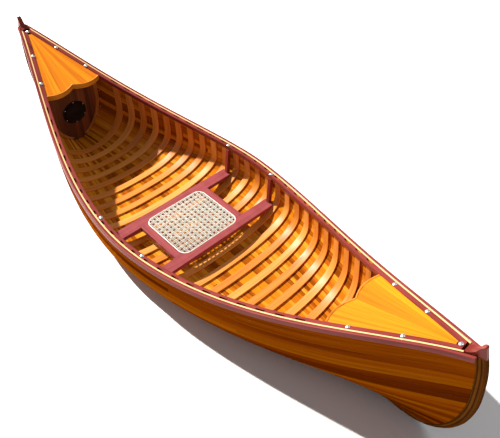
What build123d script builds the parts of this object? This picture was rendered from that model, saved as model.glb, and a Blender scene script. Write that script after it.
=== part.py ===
from build123d import *
from bisect import bisect_right
import math
import os

# A small solo canoe, just under ten feet long, of edge-glued cedar strips over steam-bent
# ribs. +X runs along the length to the bow, +Y to port, +Z up. The origin is under the
# middle of the keel line.

# ---------- Hull lines (mm) ----------
length_overall = 2970.0       # over the faces of the two outer stems
half_beam = 386.0             # centreline to the outside of the planking, at the sheer amidships
depth_amidships = 242.0       # underside of the keel strip to the sheer
sheer_rise = 305.0            # how much higher the sheer is at the stems
sheer_power = 2.49            # how late the sheer starts to climb
sheer_ease = 0.35             # how much of that climb eases off before the stem
sheer_ease_power = 3.75
keel_power = 6.0              # the same climb for the lowest planking line
plan_power = 1.83             # fullness of the waterlines
plan_hollow = 0.35            # hollow of the waterlines towards the stems
plan_hollow_power = 1.73
widest_height = 134.0         # height of the greatest beam amidships
tumblehome = 4.6              # how far the sheer leans in from the greatest beam
bilge_power = 2.48            # 2 is an elliptical bilge, more is a firmer one

# ---------- Stems ----------
forefoot_length = 255.0       # fore-and-aft run of the curved forefoot
forefoot_height = 357.0       # height at which the stem face is upright
stem_recurve = 36.0           # how far the stem head leans back inboard
stem_head_height = 597.0      # top of the stem cap
stem_depth = 36.0             # outer stem, fore and aft, at the head
stem_half_width = 12.4        # outer stem at its back, flush with the planking
stem_nose_half_width = 6.5
inner_stem_depth = 34.0

# ---------- Planking, keel strip and ribs ----------
strip_count = 24              # strips on each side of the keel strip
strip_lengths = 3             # each strip is made up of this many lengths
joint_pitch = 950.0           # from one butt joint to the next along a strip
joint_stagger = 160.0         # shift of the joints from strip to strip
plank_thickness = 6.4
glue_gap = 0.24
keel_strip_width = 44.0
rib_count = 24
rib_pitch = 76.2
rib_width = 35.0
rib_thickness = 7.0
rib_gap = 1.0                 # bedding between a rib and the flat faces of the strips
rib_top_drop = 9.0            # rib head below the top of the inwale

# ---------- Gunwales ----------
inwale_width = 19.0
inwale_depth = 22.0
outwale_width = 13.0
outwale_depth = 22.0
wood_gap = 0.25               # glue and varnish between two pieces of trim
pocket_clearance = 0.6        # around a rib head in its inwale pocket
inwale_end = 1386.0           # the inwales meet here, on the centreline
outwale_overrun = 9.0         # outwale past the end of the planking, beside the stem head

# ---------- Decks ----------
deck_inner_end = 958.0        # where the coaming meets the inwales
deck_tip = 1362.0
deck_thickness = 8.0
deck_drop = 4.0               # deck surface below the inwale tops
deck_planks = 4               # on each side of the centreline
coaming_thickness = 8.0
coaming_depth = 26.0
coaming_rise = 2.0            # coaming above the deck
cusp_depth = 9.0              # the coaming's centre point, towards the stem
bulge_depth = 17.0            # each half's swell, towards the cockpit

# ---------- Bulkheads and hatches ----------
bulkhead_station = 1008.0     # cockpit face
bulkhead_thickness = 9.0
bulkhead_gap = 1.0
border_width = 20.0           # the border slats that form a V on the bulkhead
border_thickness = 4.0
hatch_height = 188.0          # hatch centre above the keel
ring_radius = 66.0
ring_thickness = 5.0
recess_radius = 56.0
recess_depth = 3.0
neck_radius = 53.0
neck_bore = 50.0
neck_length = 24.0
ring_screw_circle = 61.0
ring_screw_count = 6
lid_clearance = 0.6
lid_thickness = 4.0
lid_skirt = 3.0
lid_skirt_length = 16.0
grip_width = 14.0
grip_recess = 2.0
seal_section = 2.4
hatch_pull = 60.0             # how far the lid is lifted clear of its ring

# ---------- Seat ----------
seat_height = 84.0            # top of the seat frame above the keel
seat_thickness = 20.0
opening_half_length = 137.0   # the caned opening, fore and aft
opening_half_width = 149.0
opening_radius = 30.0
crossbar_outer = 183.0        # outer edge of each crossbar from the middle of the seat
side_rail_outer = 193.0
rebate_depth = 3.0
rebate_width = 11.0
cane_thickness = 1.6
spline_width = 5.0
spline_height = 2.2
bar_end_gap = 1.5             # crossbar end to the ribs
hanger_size = 20.0
hanger_station = 2 * rib_pitch

# ---------- Fastenings ----------
bolt_head_radius = 10.0
bolt_head_height = 5.0
bolt_shank_radius = 3.0
bolt_hole_clearance = 0.4
bolt_inset = 1.5              # bolts inboard of the middle of the inwale
deck_bolt_length = 17.0
outer_bolt_station = 1212.0
inner_bolt_station = 1037.0
tip_bolt_station = 1376.0
small_screw_radius = 3.2
small_screw_height = 1.2
insert_radius = 4.8           # threaded inserts that the hanger bolts screw into
insert_length = 11.0
hanger_foot_inset = 17.0      # how far each hanger leans inboard from inwale to crossbar
planking_screw_count = 4      # on each side, through the planking into a bulkhead

station_count = 10            # points along half of a long piece
half_length = length_overall / 2
forefoot_station = half_length - forefoot_length
rib_outer_depth = plank_thickness + rib_gap
rib_inner_depth = rib_outer_depth + rib_thickness


# ---------- Hull geometry ----------
def evenly(points):
    """A function that gives the point at a fraction of the length of a run of points."""
    marks = [0.0]
    for a, b in zip(points, points[1:]):
        marks.append(marks[-1] + math.dist(a, b))

    def at(fraction):
        target = min(max(fraction, 0.0), 1.0) * marks[-1]
        i = min(bisect_right(marks, target), len(marks) - 1)
        share = (target - marks[i - 1]) / (marks[i] - marks[i - 1])
        return [p + (q - p) * share for p, q in zip(points[i - 1], points[i])]

    at.length = marks[-1]
    return at


def midship_outline():
    """Outside of the planking amidships, from the sheer to the edge of the keel strip, as y and z."""
    widest = half_beam + tumblehome
    points = []
    for k in range(21):
        lift = 1 - k / 20
        height = widest_height + (depth_amidships - widest_height) * lift
        points.append((widest - tumblehome * lift**2, height))
    for k in range(1, 400):
        angle = math.pi / 2 * k / 400
        y = widest * math.cos(angle) ** (2 / bilge_power)
        z = widest_height * (1 - math.sin(angle) ** (2 / bilge_power))
        if y > keel_strip_width / 2:
            points.append((y, z))
    return evenly(points + [(keel_strip_width / 2, 0.0)])


def stem_x(z, depth):
    """Station of the stem face at a height, or of a line that far behind it."""
    foot = plank_thickness * depth / stem_depth
    if z >= forefoot_height:
        lean = (z - forefoot_height) / (stem_head_height - forefoot_height)
        return half_length - stem_recurve * lean**3 - depth
    drop = (forefoot_height - z) / (forefoot_height - foot)
    return forefoot_station + (forefoot_length - depth) * math.sqrt(max(0.0, 1 - drop**2))


def stem_outline(depth):
    """The stem's profile from the sheer down to the forefoot, as x and z."""
    foot = plank_thickness * depth / stem_depth
    top = depth_amidships + sheer_rise
    points = []
    for k in range(20):
        z = top - (top - forefoot_height) * k / 20
        points.append((stem_x(z, depth), z))
    for k in range(201):
        angle = math.pi / 2 * k / 200
        x = forefoot_station + (forefoot_length - depth) * math.cos(angle)
        points.append((x, forefoot_height - (forefoot_height - foot) * math.sin(angle)))
    return evenly(points)


midship = midship_outline()
stem_back = stem_outline(stem_depth)
stem_face = stem_outline(0.0)


def hull_point(t, x):
    """Outside of the port planking at station x on the line t, from 0, the sheer, to 1, the keel strip."""
    mid_y, mid_z = midship(t)
    end_x, end_z = stem_back(t)
    u = min(abs(x) / end_x, 1.0)
    breadth = (1 - u**plan_power) * (1 - plan_hollow * u**plan_hollow_power)
    power = sheer_power + (keel_power - sheer_power) * t
    rise = u**power * (1 + sheer_ease * (1 - u**sheer_ease_power))
    y = stem_half_width + (mid_y - stem_half_width) * breadth
    return y, mid_z + (end_z - mid_z) * rise


def skin(t, x, depth, side=1):
    """A point that depth inside the outside of the planking, square to it across the hull."""
    step = 0.004
    y1, z1 = hull_point(max(t - step, 0.0), x)
    y2, z2 = hull_point(min(t + step, 1.0), x)
    run = math.hypot(y2 - y1, z2 - z1)
    y, z = hull_point(t, x)
    return x, side * (y + depth * (z2 - z1) / run), z - depth * (y2 - y1) / run


def sheer_height(x):
    return hull_point(0.0, x)[1]


def line_at(x, depth, axis, value):
    """The line whose point, that deep inside the skin, comes down to a height or in to a breadth."""
    low, high = 0.0, 1.0
    for _ in range(30):
        middle = (low + high) / 2
        if skin(middle, x, depth)[axis] > value:
            low = middle
        else:
            high = middle
    return low


def inner_breadth(x, z, depth):
    """Half breadth at a height and station, measured to a surface that deep inside the planking."""
    return skin(line_at(x, depth, 2, z), x, depth)[1]


def run_edge(points):
    """One smooth edge through the points of a long run, or a straight one through two."""
    if len(points) == 2:
        return Edge.make_line(points[0], points[1])
    return Edge.make_spline([Vector(*p) for p in points])


def bar(rows):
    """A long solid whose corners run along the given rows of points."""
    edges = [run_edge(row) for row in rows]
    pairs = list(zip(edges, edges[1:] + edges[:1]))
    faces = [Face.make_surface_from_curves(a, b) for a, b in pairs]
    for end in (0, -1):
        corners = [row[end] for row in rows]
        if len(corners) == 4:
            one = Edge.make_line(corners[0], corners[1])
            other = Edge.make_line(corners[3], corners[2])
            faces.append(Face.make_surface_from_curves(one, other))
        else:
            faces.append(Face(Wire.make_polygon(corners, close=True)))
    solid = Solid(Shell(faces))
    return solid if solid.volume > 0 else Solid(Shell([-f for f in faces]))


def spread(low, high, count):
    return [low + (high - low) * k / count for k in range(count + 1)]


def write(name, solids):
    """One STEP file for one named sub-part, as one solid or as a group of separate ones."""
    pieces = []
    for solid in solids:
        pieces.extend(solid.solids())
    body = pieces[0] if len(pieces) == 1 else Compound(children=pieces)
    export_step(body, f"parts/{name}.step")


def both_sides(solid):
    return [solid, mirror(solid, Plane.XZ)]


def at_stern(solids):
    """The same pieces turned end for end, for the stern."""
    return [solid.rotate(Axis.Z, 180) for solid in solids]


# ---------- Planking ----------
def joint_station(index, number):
    """Where one length of a strip meets the next, staggered from strip to strip."""
    stagger = (index % 3 - 1) * joint_stagger
    return (number - strip_lengths / 2) * joint_pitch + stagger


def strip(index):
    """One port strip, counted from the sheer down, as lengths butted end to end."""
    half_gap = glue_gap / 2 / midship.length
    top = index / strip_count + (half_gap if index else 0.0)
    bottom = (index + 1) / strip_count - half_gap
    lengths = []
    for number in range(strip_lengths):
        rows = []
        for t, depth in ((top, 0.0), (bottom, 0.0), (bottom, plank_thickness), (top, plank_thickness)):
            end = stem_back(t)[0]
            aft = joint_station(index, number) + glue_gap / 2 if number else -end
            last = number == strip_lengths - 1
            fore = end if last else joint_station(index, number + 1) - glue_gap / 2
            rows.append([skin(t, x, depth) for x in spread(aft, fore, station_count)])
        if index == 0:
            rows[3] = [(x, inner_breadth(x, z, plank_thickness), z) for x, y, z in rows[0]]
        lengths.append(bar(rows))
    return lengths


def keel_strip():
    """The flat strip along the middle of the bottom, between the two garboard strips."""
    port = []
    for x in spread(-forefoot_station, forefoot_station, 2 * station_count):
        room = min(hull_point(1.0, x)[0], skin(1.0, x, plank_thickness)[1])
        port.append((x, room - glue_gap, 0.0))
    starboard = [(x, -y, z) for x, y, z in port]
    ends = [Edge.make_line(port[k], starboard[k]) for k in (0, -1)]
    outline = Face(Wire([run_edge(port), ends[1], run_edge(starboard), ends[0]]))
    return extrude(outline, plank_thickness, dir=(0, 0, 1))


def rib(station):
    """One bent rib from gunwale to gunwale, with its heads in the inwale pockets."""
    head = rib_top_drop / midship.length
    lines = [head] + spread(0.06, 1.0, 13)
    rows = []
    for x, depth in (
        (station - rib_width / 2, rib_outer_depth),
        (station - rib_width / 2, rib_inner_depth),
        (station + rib_width / 2, rib_inner_depth),
        (station + rib_width / 2, rib_outer_depth),
    ):
        port = [skin(t, x, depth) for t in lines]
        rows.append(port + [(x, -y, z) for x, y, z in reversed(port)])
    return bar(rows)


rib_stations = [(k - (rib_count - 1) / 2) * rib_pitch for k in range(rib_count)]


# ---------- Gunwales ----------
def gunwale(inner_depth, width, depth, end):
    """A port gunwale batten against the planking, whose face is inner_depth inside the outer skin."""
    top, low = [], []
    for x in spread(-end, end, 2 * station_count + 4):
        z = sheer_height(x)
        top.append((x, inner_breadth(x, z, inner_depth), z))
        low.append((x, inner_breadth(x, z - depth, inner_depth), z - depth))
    shift = -width if inner_depth > 0 else width
    low_far = [(x, y + shift, z) for x, y, z in low]
    top_far = [(x, y + shift, z) for x, y, z in top]
    return bar([top, low, low_far, top_far])


def rib_pocket(station):
    """The space that one rib head needs in the port inwale."""
    rows = []
    half = rib_width / 2 + pocket_clearance
    for x, depth in (
        (station - half, plank_thickness - 1.0),
        (station - half, rib_inner_depth + pocket_clearance),
        (station + half, rib_inner_depth + pocket_clearance),
        (station + half, plank_thickness - 1.0),
    ):
        top = skin(0.0, x, depth)
        low = skin(1.6 * inwale_depth / midship.length, x, depth)
        above = tuple(a + 0.4 * (a - b) for a, b in zip(top, low))
        rows.append([above, low])
    return bar(rows)


def inwale_centre(x):
    """Middle of the port inwale at its top."""
    return inner_breadth(x, sheer_height(x), plank_thickness + wood_gap) - inwale_width / 2


def deck_bolt_places():
    """The seat of each bolt of the bow deck, square to the sheer: one on the tip and two a side."""
    stations = [tip_bolt_station, outer_bolt_station, inner_bolt_station]
    places = []
    for x in stations:
        slope = (sheer_height(x + 1) - sheer_height(x - 1)) / 2
        centre = inwale_centre(x) - bolt_inset
        sides = (0.0,) if x == tip_bolt_station else (centre, -centre)
        for y in sides:
            places.append(Plane(origin=(x, y, sheer_height(x)), x_dir=(1, 0, slope), z_dir=(-slope, 0, 1)))
    return places


def hanger_places():
    """The seat of each hanger bolt on an inwale, leaning in towards the crossbar below."""
    top = sheer_height(hanger_station)
    centre = inwale_centre(hanger_station) - bolt_inset
    lean = hanger_foot_inset / (top - seat_height)
    places = []
    for a in (-1, 1):
        for b in (-1, 1):
            origin = (a * hanger_station, b * centre, top)
            places.append(Plane(origin=origin, x_dir=(1, 0, 0), z_dir=(0, b * lean, 1)))
    return places


def bolt_hole(place, length):
    """Clearance for a bolt, with a spot face for its head."""
    low = (Align.CENTER, Align.CENTER, Align.MAX)
    high = (Align.CENTER, Align.CENTER, Align.MIN)
    shank = place * Cylinder(bolt_shank_radius + bolt_hole_clearance, length, align=low)
    return shank + place * Cylinder(bolt_head_radius + bolt_hole_clearance, 20, align=high)


def port_inwale():
    solid = gunwale(plank_thickness + wood_gap, inwale_width, inwale_depth, inwale_end)
    cutters = [rib_pocket(x) for x in rib_stations]
    for place in deck_bolt_places():
        if place.origin.Y >= 0:
            hole = bolt_hole(place, deck_bolt_length + 2)
            cutters += [hole, mirror(hole, Plane.YZ)]
    for place in hanger_places():
        if place.origin.Y > 0:
            cutters.append(bolt_hole(place, 2 * inwale_depth))
    return solid - cutters


# ---------- Stems ----------
def profile_row(outline, y, low=0.0, high=1.0, raise_by=0.0):
    points = []
    for t in spread(low, high, 14):
        x, z = outline(t)
        points.append((x, y, z + raise_by))
    return points


def outer_stem():
    """The bow's outer stem, laminated and tapered to a rounded nose, down to the keel strip."""
    back = [(x + wood_gap, y, z) for x, y, z in profile_row(stem_back, stem_half_width)]
    face = profile_row(stem_face, stem_nose_half_width)
    middle = []
    for (bx, by, bz), (fx, fy, fz) in zip(back, face):
        share = 0.72
        middle.append((bx + (fx - bx) * share, stem_half_width - 1.6, bz + (fz - bz) * share))
    port = [back, middle, face]
    starboard = [[(x, -y, z) for x, y, z in row] for row in reversed(port)]
    return bar_with_flat_ends(port + starboard)


def bar_with_flat_ends(rows):
    """A bar whose end corners lie on two straight cross lines, capped by ruled faces."""
    edges = [run_edge(row) for row in rows]
    faces = [Face.make_surface_from_curves(a, b) for a, b in zip(edges, edges[1:] + edges[:1])]
    count = len(rows)
    for end in (0, -1):
        corners = [row[end] for row in rows]
        for k in range(count // 2 - 1):
            port = Edge.make_line(corners[k], corners[k + 1])
            starboard = Edge.make_line(corners[count - 1 - k], corners[count - 2 - k])
            faces.append(Face.make_surface_from_curves(port, starboard))
    solid = Solid(Shell(faces))
    return solid if solid.volume > 0 else Solid(Shell([-f for f in faces]))


def inner_stem():
    """The bow's inner stem, the wedge inside the planking that the strips are glued to."""
    lines = spread(0.03, 0.8, 12)
    inner = plank_thickness + 3 * wood_gap
    front, aft = [], []
    for t in lines:
        end = stem_back(t)[0]
        front.append(skin(t, end - 1.0, inner))
        aft.append(skin(t, end - inner_stem_depth, inner + 1.0))
    rows = [front, aft]
    rows += [[(x, -y, z) for x, y, z in row] for row in reversed(rows)]
    return bar(rows)


def stem_cap():
    """The carved mahogany head over the bow stem: a low saddle that rises to a rounded knob."""
    base = depth_amidships + sheer_rise
    sheer_end = stem_back(0.0)[0]
    knob = stem_head_height - base
    nose_rake = 0.22
    front = stem_x(base, 0.0) - 0.5
    start = inwale_end + 11.0
    stations = [start + (front - start) * share for share in (0.0, 0.26, 0.5, 0.66, 0.82, 1.0)]
    edge_rise = [0.06, 0.10, 0.34, 0.80, 0.95, 0.80]
    valley_rise = [0.04, 0.06, 0.24, 0.70, 0.93, 0.86]
    rows = [[], [], [], []]
    for x, edge, valley in zip(stations, edge_rise, valley_rise):
        y = min(hull_point(0.0, x)[0], stem_half_width + 40)
        if x > sheer_end:
            share = (x - sheer_end) / (stem_depth + 4)
            y = stem_half_width - (stem_half_width - stem_nose_half_width) * share
        floor = sheer_height(x) + 2 * wood_gap
        top = floor + knob * edge
        middle = floor + knob * (edge + valley) / 2 + 1
        corners = [(y, floor), (y, top), (y * 0.45, middle), (0.0, floor + knob * valley)]
        for row, (across, z) in zip(rows, corners):
            rake = nose_rake * (z - floor) if x == stations[-1] else 0.0
            row.append((x - rake, across, z))
    mirrored = [[(x, -y, z) for x, y, z in row] for row in reversed(rows[:3])]
    return bar(rows + mirrored)


# ---------- Decks ----------
def coaming_station(fraction):
    """Inner edge of the deck in plan: a brace whose middle point looks to the stem."""
    cusp = cusp_depth * (1 - fraction) ** 3
    return deck_inner_end + cusp - bulge_depth * math.sin(math.pi * fraction)


def deck_half_width(x):
    return inwale_centre(x) - inwale_width / 2 - wood_gap


def deck_top(x):
    return sheer_height(x) - deck_drop


def deck_plank(index):
    """One port plank of the bow deck, tapering from the coaming to the tip."""
    rows = []
    for fraction, drop in (
        (index / deck_planks, 0.0),
        ((index + 1) / deck_planks, 0.0),
        ((index + 1) / deck_planks, deck_thickness),
        (index / deck_planks, deck_thickness),
    ):
        start = coaming_station(fraction) + coaming_thickness / 2 + wood_gap
        row = []
        for x in spread(start, deck_tip, 10):
            inset = glue_gap / 2 if fraction < 1 else 0.0
            inset = -inset if fraction == index / deck_planks else inset
            row.append((x, fraction * deck_half_width(x) - inset, deck_top(x) - drop))
        rows.append(row)
    return bar(rows)


def coaming_half():
    """Port half of the bow deck's coaming, bent to the brace."""
    rows = []
    half = coaming_thickness / 2
    for offset, drop in ((-half, -coaming_rise), (half, -coaming_rise), (half, 0.0), (-half, 0.0)):
        row = []
        for k in range(15):
            fraction = k / 14
            x = coaming_station(fraction) + offset
            y = fraction * deck_half_width(x) + (glue_gap / 2 if k == 0 else 0.0)
            top = deck_top(coaming_station(fraction))
            row.append((x, y, top - drop if drop else top - coaming_depth))
        rows.append(row)
    return bar(rows)


# ---------- Bulkheads ----------
def bulkhead_outline(x, gap, top):
    """The port half of a panel's outline, from its top, under the inwale, down to the keel."""
    shoulder = sheer_height(bulkhead_station - border_thickness) - inwale_depth - gap
    neck = inwale_centre(x) - inwale_width / 2 - gap
    edge = inner_breadth(x, shoulder, plank_thickness + gap)
    points = [(neck, top), (neck, shoulder), (edge, shoulder)]
    for t in spread(0.0, 1.0, 22):
        _, y, z = skin(t, x, plank_thickness + gap)
        if z < shoulder - 3:
            points.append((y, z))
    return points


def bulkhead_top():
    return deck_top(bulkhead_station) - deck_thickness - 1.5


def bulkhead():
    """The panel that closes off the bow's buoyancy compartment, bored for the hatch."""
    points = bulkhead_outline(bulkhead_station + bulkhead_thickness, bulkhead_gap, bulkhead_top())
    ring = [Vector(bulkhead_station, y, z) for y, z in points]
    ring += [Vector(bulkhead_station, -y, z) for y, z in reversed(points)]
    face = Face(Wire.make_polygon(ring, close=True))
    panel = extrude(face, bulkhead_thickness, dir=(1, 0, 0))
    bore = along_x(neck_radius + wood_gap, bulkhead_station - 1, bulkhead_thickness + 2)
    return panel - [bore, *screw_holes()]


def bulkhead_border():
    """The two lighter slats on the panel's face, along its port and starboard edges."""
    front = bulkhead_station - 0.1
    points = bulkhead_outline(front, bulkhead_gap + 1.5, bulkhead_top() - 1.0)
    low = points[-1][1] + 14.0
    outer = [(y, z) for y, z in points[2:] if z > low]
    inner = [(max(y - border_width, 1.0), z) for y, z in outer]
    corners = [Vector(front, y, z) for y, z in outer + inner[::-1]]
    face = Face(Wire.make_polygon(corners, close=True))
    slat = extrude(face, border_thickness, dir=(-1, 0, 0))
    slat = slat - along_x(ring_radius + 1.0, front - border_thickness - 1, border_thickness + 2)
    return both_sides(slat)


def along_x(radius, start, length, inner=0.0):
    """A round disc or tube on the bow hatch's axis."""
    place = Plane(origin=(start + length / 2, 0, hatch_height), x_dir=(0, 1, 0), z_dir=(1, 0, 0))
    solid = place * Cylinder(radius, length)
    if inner:
        solid = solid - place * Cylinder(inner, length + 2)
    return solid


def hatch_ring():
    """Flange on the bulkhead's cockpit face with a recess for the lid, and a neck through the panel."""
    front = bulkhead_station - ring_thickness
    flange = along_x(ring_radius, front, ring_thickness, neck_bore)
    neck = along_x(neck_radius, bulkhead_station - 1, neck_length + 1, neck_bore)
    recess = along_x(recess_radius, front - 1, recess_depth + 1)
    ring = flange + neck - recess
    outer_rim = ring.edges().filter_by(GeomType.CIRCLE).filter_by(
        lambda e: abs(e.radius - ring_radius) < 0.1 and e.center().X < front + 0.5
    )
    ring = fillet(outer_rim, 2.0)
    return ring - screw_holes()


def screw_holes():
    """Clearance for the screws that hold the ring to the bulkhead."""
    holes = []
    for x, y, z in ring_screw_places():
        place = Plane(origin=(x + 4, y, z), x_dir=(0, 1, 0), z_dir=(1, 0, 0))
        holes.append(place * Cylinder(small_screw_radius / 2 + 0.2, 14))
    return holes


def ring_screw_places():
    front = bulkhead_station - ring_thickness
    places = []
    for k in range(ring_screw_count):
        angle = math.tau * (k + 0.5) / ring_screw_count
        y = ring_screw_circle * math.cos(angle)
        places.append((front, y, hatch_height + ring_screw_circle * math.sin(angle)))
    return places


def hatch_lid():
    """The bayonet lid: a flange in the ring's recess, a skirt in its neck and a bar to turn it by."""
    back = bulkhead_station - ring_thickness + recess_depth - seal_section - lid_clearance / 2
    front = back - lid_thickness
    flange = along_x(recess_radius - lid_clearance, front, lid_thickness)
    skirt_outer = neck_bore - lid_clearance
    skirt = along_x(skirt_outer, back - 1, lid_skirt_length + 1, skirt_outer - lid_skirt)
    lid = flange + skirt
    rim = lid.edges().filter_by(GeomType.CIRCLE).filter_by(
        lambda e: abs(e.radius - recess_radius + lid_clearance) < 0.1 and e.center().X < front + 0.5
    )
    lid = fillet(rim, 1.2)
    dish = along_x(recess_radius - 12, front - 1, grip_recess + 1)
    bar_place = Pos(front, 0, hatch_height)
    keep = bar_place * Box(4 * grip_recess + 2, 2 * recess_radius, grip_width)
    return lid - (dish - keep)


def hatch_seal():
    """The O-ring between the lid's flange and the floor of the recess."""
    centre = bulkhead_station - ring_thickness + recess_depth - seal_section / 2
    middle = (recess_radius - lid_clearance + neck_bore) / 2
    place = Plane(origin=(centre, 0, hatch_height), x_dir=(0, 1, 0), z_dir=(1, 0, 0))
    return place * Torus(middle, seal_section / 2 - 0.05)


def ring_screw(point):
    """A small screw whose domed head stands off the ring towards the cockpit."""
    place = Plane(origin=point, x_dir=(0, 1, 0), z_dir=(-1, 0, 0))
    low = (Align.CENTER, Align.CENTER, Align.MIN)
    head = Cone(small_screw_radius, small_screw_radius * 0.55, small_screw_height, align=low)
    shank = Cylinder(small_screw_radius / 2, 8, align=(Align.CENTER, Align.CENTER, Align.MAX))
    return place * (head + shank)


# ---------- Seat ----------
def seat_opening(grow, low, high):
    """The rounded rectangle of the caned opening, grown all round, between two heights."""
    length = 2 * (opening_half_length + grow)
    width = 2 * (opening_half_width + grow)
    outline = RectangleRounded(length, width, opening_radius + grow)
    return Pos(0, 0, low) * extrude(outline, high - low)


def seat_cut(blank):
    low = seat_height - seat_thickness
    through = seat_opening(0.0, low - 1, seat_height + 1)
    rebate = seat_opening(rebate_width, seat_height - rebate_depth, seat_height + 1)
    return blank - through - rebate


corner_share = opening_radius * (1 - math.sqrt(0.5))


def crossbar():
    """The forward crossbar, its ends bevelled to the bilge, bored for two threaded inserts."""
    inner = opening_half_length - corner_share
    corners = []
    for z in (seat_height - seat_thickness, seat_height):
        reach = inner_breadth(crossbar_outer, z, rib_inner_depth) - bar_end_gap
        corners += [(reach, z), (-reach, z)]
    order = [corners[0], corners[2], corners[3], corners[1]]
    end = Face(Wire.make_polygon([Vector(inner, y, z) for y, z in order], close=True))
    blank = extrude(end, crossbar_outer - inner, dir=(1, 0, 0))
    bores = []
    for place in hanger_places():
        if place.origin.X > 0:
            bores.append(insert_blank(place, insert_radius + 0.1, 2.0))
    return seat_cut(blank) - bores


def insert_blank(place, radius, extra):
    """A plug on a hanger bolt's axis, down from the top of the crossbar."""
    depth = (place.origin.Z - seat_height) / place.z_dir.Z
    centre = place.origin - place.z_dir * (depth + (insert_length - extra) / 2)
    plug = Plane(origin=centre, x_dir=(1, 0, 0), z_dir=place.z_dir) * Cylinder(radius, insert_length + extra)
    return plug


def threaded_insert(place):
    """A threaded insert in a crossbar, flush with its top."""
    outside = insert_blank(place, insert_radius, 2.0)
    bore = insert_blank(place, bolt_shank_radius + 0.1, 6.0)
    slab = Pos(place.origin.X, place.origin.Y, seat_height - 10.1) * Box(60, 60, 20)
    return (outside - bore) & slab


def side_rail():
    """The port side rail of the seat, between the two crossbars."""
    inner = opening_half_width - corner_share
    reach = opening_half_length - corner_share - wood_gap
    blank = Pos(0, (inner + side_rail_outer) / 2, seat_height - seat_thickness / 2)
    return seat_cut(blank * Box(2 * reach, side_rail_outer - inner, seat_thickness))


def cane_panel():
    low = seat_height - rebate_depth
    return seat_opening(rebate_width - wood_gap, low, low + cane_thickness)


def cane_spline():
    """The rounded cord pressed round the edge of the caning."""
    low = seat_height - rebate_depth + cane_thickness
    outer = seat_opening(rebate_width - wood_gap, low, low + spline_height)
    inner = seat_opening(rebate_width - wood_gap - spline_width, low - 1, low + spline_height + 1)
    return outer - inner


def hanger_post(place):
    """A post between the inwale and a crossbar, bored for its bolt."""
    x, y, sheer = place.origin
    top = sheer_height(hanger_station - hanger_size / 2) - inwale_depth - wood_gap
    low = seat_height + wood_gap
    post = extrude(RectangleRounded(hanger_size, hanger_size * 0.9, 2.0), -(sheer - low + 10))
    slab = Pos(x, y, (low + top) / 2) * Box(80, 80, top - low)
    bore = place * Cylinder(bolt_shank_radius + bolt_hole_clearance, 2 * (sheer - low + 10))
    return ((place * post) & slab) - bore


def dome_bolt(shank):
    """A dome-headed bolt whose head sits on the XY plane and whose shank runs down."""
    ball = bolt_head_radius**2 / (2 * bolt_head_height) + bolt_head_height / 2
    crown = Align.CENTER, Align.CENTER, Align.MIN
    head = Pos(0, 0, bolt_head_height - ball) * Sphere(ball)
    head = head & Pos(0, 0, 0.1) * Box(40, 40, bolt_head_height - 0.25, align=crown)
    stem = Pos(0, 0, 0.5 - shank / 2) * Cylinder(bolt_shank_radius, shank + 1)
    return head + stem


def hanger_bolt(place):
    drop = (place.origin.Z - seat_height) / place.z_dir.Z
    return place * dome_bolt(drop + insert_length - 2)


def planking_screws():
    """Small domed screws through the planking beside the bow bulkhead, with their heads inside."""
    screws = []
    for k in range(planking_screw_count):
        z = hatch_height + 70 - 50 * k
        x = bulkhead_station - 8.0
        t = line_at(x, plank_thickness, 2, z)
        along = Vector(*skin(t, x + 1, plank_thickness)) - Vector(*skin(t, x - 1, plank_thickness))
        down = Vector(*skin(t + 0.01, x, plank_thickness)) - Vector(*skin(t - 0.01, x, plank_thickness))
        inward = along.cross(down).normalized()
        inward = inward if inward.Y < 0 else -inward
        place = Plane(origin=Vector(*skin(t, x, plank_thickness)) + inward * 0.5, z_dir=inward)
        low = (Align.CENTER, Align.CENTER, Align.MIN)
        head = Cone(small_screw_radius, small_screw_radius * 0.55, small_screw_height, align=low)
        screws += both_sides(place * head)
    return screws


# ---------- Writing ----------
def main():
    os.makedirs("parts", exist_ok=True)
    strips = []
    for k in range(strip_count):
        strips += strip(k)
    write("planking_port", strips)
    write("planking_starboard", [mirror(s, Plane.XZ) for s in strips])
    write("keel_strip", [keel_strip()])

    for number, station in enumerate(rib_stations, start=1):
        write(f"rib_{number:02d}", [rib(station)])

    inwale = port_inwale()
    write("inwale_port", [inwale])
    write("inwale_starboard", [mirror(inwale, Plane.XZ)])
    outwale_reach = stem_back(0.0)[0] + outwale_overrun
    outwale = gunwale(-wood_gap, outwale_width, outwale_depth, outwale_reach)
    write("outwale_port", [outwale])
    write("outwale_starboard", [mirror(outwale, Plane.XZ)])

    deck = []
    for k in range(deck_planks):
        deck += both_sides(deck_plank(k))
    ends = {
        "outer_stem": [outer_stem()],
        "stem_cap": [stem_cap()],
        "deck": deck,
        "bulkhead": [bulkhead()],
        "hatch_ring": [hatch_ring()],
        "hatch_seal": [hatch_seal()],
        "hatch_lid": [hatch_lid()],
    }
    for name, solids in ends.items():
        write(f"bow_{name}", solids)
        write(f"stern_{name}", at_stern(solids))

    forward = crossbar()
    write("seat_forward_crossbar", [forward])
    write("seat_aft_crossbar", at_stern([forward]))
    rail = side_rail()
    write("seat_port_rail", [rail])
    write("seat_starboard_rail", [mirror(rail, Plane.XZ)])
    write("seat_cane", [cane_panel()])
    write("seat_cane_spline", [cane_spline()])
    write("seat_hanger_posts", [hanger_post(place) for place in hanger_places()])
    write("seat_hanger_bolts", [hanger_bolt(place) for place in hanger_places()])
    write("seat_threaded_inserts", [threaded_insert(place) for place in hanger_places()])

    pairs = {
        "inner_stems": [inner_stem()],
        "deck_coamings": both_sides(coaming_half()),
        "bulkhead_borders": bulkhead_border(),
        "deck_bolts": [place * dome_bolt(deck_bolt_length) for place in deck_bolt_places()],
        "hatch_ring_screws": [ring_screw(place) for place in ring_screw_places()],
        "planking_screws": planking_screws(),
    }
    for name, solids in pairs.items():
        write(name, solids + at_stern(solids))


main()
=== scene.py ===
import math
import random

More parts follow.
